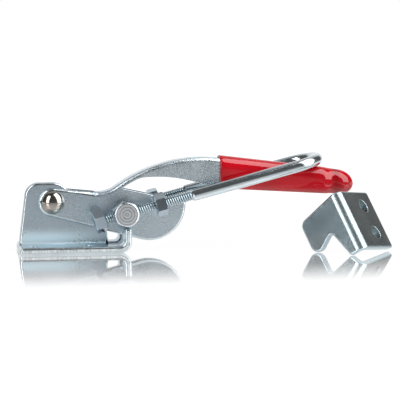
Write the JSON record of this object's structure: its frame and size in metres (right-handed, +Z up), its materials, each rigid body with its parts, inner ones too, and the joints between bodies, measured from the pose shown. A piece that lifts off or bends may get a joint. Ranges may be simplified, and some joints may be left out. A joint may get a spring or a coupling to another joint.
{
  "type": "latch toggle clamp",
  "caption": "Pull-action latch toggle clamp: two-bracket base, stamped lever with dipped grip, adjustable U-bolt on trunnions, and a separate hook plate.",
  "frame": {"origin": "centre of the four base holes, on the mounting face", "axes": "+X along the pull towards the grip, +Y away from the pictured side, +Z up from the mounting face"},
  "size_m": [0.1729, 0.0602, 0.0445],
  "materials": {
    "base_zinc": "satin bluish zinc plate",
    "rivet_nickel": "polished nickel plate",
    "lever_zinc": "satin zinc plate",
    "grip_vinyl": "glossy dipped vinyl",
    "trunnion_steel": "turned end, zinc plate",
    "bolt_zinc": "bright zinc plate",
    "nut_zinc": "zinc plate",
    "plate_zinc": "satin bluish zinc plate"
  },
  "bodies": {
    "base": {"base_bracket_front": "base_zinc", "base_bracket_rear": "base_zinc", "pivot_rivet": "rivet_nickel", "hook_plate": "plate_zinc"},
    "lever": {"lever": "lever_zinc", "grip": "grip_vinyl"},
    "trunnions": {"trunnion_front": "trunnion_steel", "trunnion_rear": "trunnion_steel"},
    "bolt": {"u_bolt": "bolt_zinc", "load_nut_front": "nut_zinc", "load_nut_rear": "nut_zinc", "jam_nut_front": "nut_zinc", "jam_nut_rear": "nut_zinc"}
  },
  "joints": [
    {"name": "lever_hinge", "type": "hinge", "parent": "base", "child": "lever", "pos_m": [-0.0027, 0, 0.023], "axis": [0, -1, 0], "range_deg": [0, 150]},
    {"name": "trunnion_hinge", "type": "hinge", "parent": "lever", "child": "trunnions", "pos_m": [0.03032, 0, 0.01801], "axis": [0, -1, 0], "range_deg": [0, 35]},
    {"name": "bolt_slide", "type": "slide", "parent": "trunnions", "child": "bolt", "axis": [0.9685, 0, 0.2489], "range_m": [0, 0.0025]}
  ]
}
